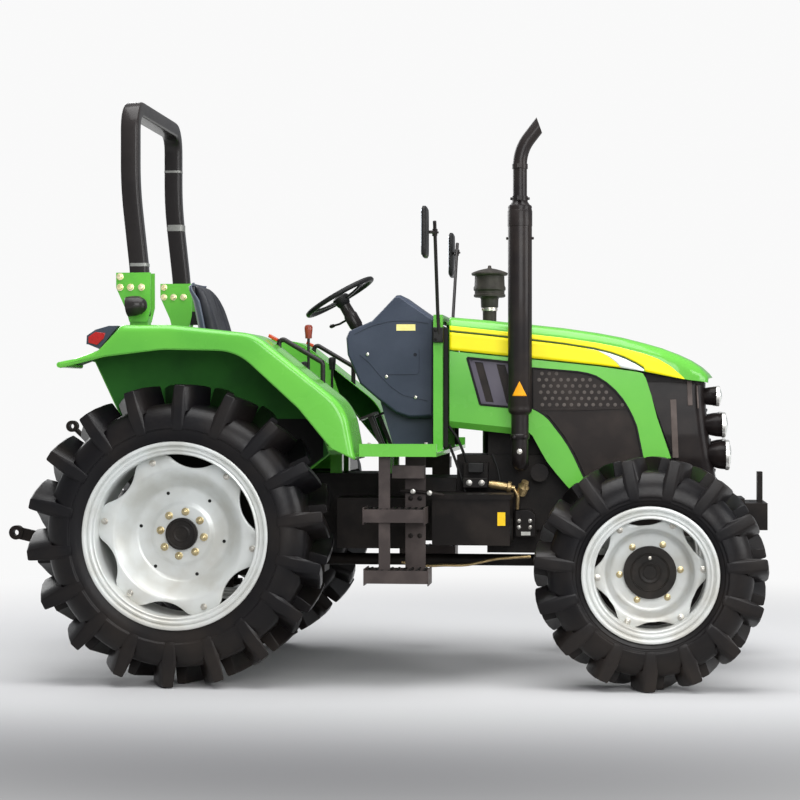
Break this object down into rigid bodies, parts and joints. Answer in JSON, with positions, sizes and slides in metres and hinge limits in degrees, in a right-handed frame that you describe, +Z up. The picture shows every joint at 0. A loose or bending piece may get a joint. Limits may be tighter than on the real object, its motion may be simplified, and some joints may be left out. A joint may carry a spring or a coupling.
{
  "type": "farm tractor",
  "caption": "Four-wheel-drive farm tractor with an open driver's station, a roll bar, lugged tyres, a sloping bonnet, a side exhaust and a rear three-point hitch.",
  "frame": {"origin": "on the ground, midway between the front and rear ends and on the centre plane", "axes": "+X forward, +Y to the driver's left, +Z up"},
  "size_m": [3.8059, 1.94, 2.8728],
  "materials": {
    "green": "gloss",
    "black": "satin",
    "casting": "painted dark",
    "steel": "satin",
    "tyre": "matt",
    "wheel": "satin",
    "vinyl": "matt",
    "console": "satin",
    "plastic": "satin",
    "lamp": "gloss",
    "lens": "clear",
    "exhaust": "heat-resistant satin"
  },
  "bodies": {
    "chassis": {"transmission": "casting", "pto_shaft": "steel", "drawbar": "black", "top_link": "black", "engine": "casting", "front_support": "black", "front_axle": "casting", "drive_shaft": "black", "fender_right": "green", "fender_left": "green", "platform": "green", "steps": "black", "seat_base": "black", "seat_cushion": "vinyl", "seat_back": "vinyl", "rops": "black", "rops_brackets": "green", "console": "console", "arch": "green", "controls": "black", "grab_rails": "black", "mirrors": "plastic", "rear_lamps": "lamp", "side_boxes": "black", "side_panels": "green", "side_screens": "black", "bay_frame": "black", "grille": "plastic", "headlamps": "lens", "exhaust": "exhaust", "precleaner": "plastic"},
    "bonnet_lid": {"bonnet": "green"},
    "knuckle_right": {"knuckle_right": "casting"},
    "knuckle_left": {"knuckle_left": "casting"},
    "tie_rod": {"tie_rod": "steel"},
    "steering_wheel": {"steering_wheel": "plastic"},
    "lower_links": {"lower_links": "black"},
    "lift_arms": {"lift_arms": "black"},
    "lift_rods": {"lift_rods": "black"},
    "rear_wheel_right": {"rear_wheel_right": "wheel", "rear_tyre_right": "tyre", "rear_hub_right": "black"},
    "front_wheel_right": {"front_wheel_right": "wheel", "front_tyre_right": "tyre", "front_hub_right": "black"},
    "rear_wheel_left": {"rear_wheel_left": "wheel", "rear_tyre_left": "tyre", "rear_hub_left": "black"},
    "front_wheel_left": {"front_wheel_left": "wheel", "front_tyre_left": "tyre", "front_hub_left": "black"}
  },
  "joints": [
    {"name": "steer_right", "type": "hinge", "parent": "chassis", "child": "knuckle_right", "pos_m": [1.313, -0.556, 0.552], "axis": [0, 0, 1], "range_deg": [-36, 36]},
    {"name": "steer_left", "type": "hinge", "parent": "chassis", "child": "knuckle_left", "pos_m": [1.313, 0.556, 0.552], "axis": [0, 0, 1], "range_deg": [-36, 36]},
    {"name": "tie_rod_slide", "type": "slide", "parent": "chassis", "child": "tie_rod", "axis": [0, 1, 0], "range_m": [-0.1, 0.1]},
    {"name": "steering_wheel_turn", "type": "hinge", "parent": "chassis", "child": "steering_wheel", "pos_m": [-0.27, 0, 1.905], "axis": [-0.5, 0, 0.866], "range_deg": [-540, 540]},
    {"name": "bonnet_open", "type": "hinge", "parent": "chassis", "child": "bonnet_lid", "pos_m": [0.325, 0, 1.762], "axis": [0, -1, 0], "range_deg": [0, 50]},
    {"name": "lower_links_lift", "type": "hinge", "parent": "chassis", "child": "lower_links", "pos_m": [-1.047, 0, 0.5], "axis": [0, -1, 0], "range_deg": [0, 24]},
    {"name": "lift_arms_turn", "type": "hinge", "parent": "chassis", "child": "lift_arms", "pos_m": [-1.087, 0, 1.04], "axis": [0, -1, 0], "range_deg": [0, 40]},
    {"name": "lift_rods_swing", "type": "hinge", "parent": "lift_arms", "child": "lift_rods", "pos_m": [-1.357, 0, 1.085], "axis": [0, 1, 0], "range_deg": [0, 60]},
    {"name": "rear_wheel_right_roll", "type": "hinge", "parent": "chassis", "child": "rear_wheel_right", "pos_m": [-0.937, -0.78, 0.725], "axis": [0, 1, 0], "continuous": true},
    {"name": "front_wheel_right_roll", "type": "hinge", "parent": "knuckle_right", "child": "front_wheel_right", "pos_m": [1.313, -0.75, 0.552], "axis": [0, 1, 0], "continuous": true},
    {"name": "rear_wheel_left_roll", "type": "hinge", "parent": "chassis", "child": "rear_wheel_left", "pos_m": [-0.937, 0.78, 0.725], "axis": [0, 1, 0], "continuous": true},
    {"name": "front_wheel_left_roll", "type": "hinge", "parent": "knuckle_left", "child": "front_wheel_left", "pos_m": [1.313, 0.75, 0.552], "axis": [0, 1, 0], "continuous": true}
  ],
  "couplings": [
    {"joint": "steer_left", "follows": "steer_right", "ratio": 1},
    {"joint": "tie_rod_slide", "follows": "steer_right", "m_per_rad": 0.134},
    {"joint": "steering_wheel_turn", "follows": "steer_right", "ratio": 14},
    {"joint": "lift_arms_turn", "follows": "lower_links_lift", "ratio": 1.4},
    {"joint": "lift_rods_swing", "follows": "lower_links_lift", "ratio": 1.3}
  ]
}
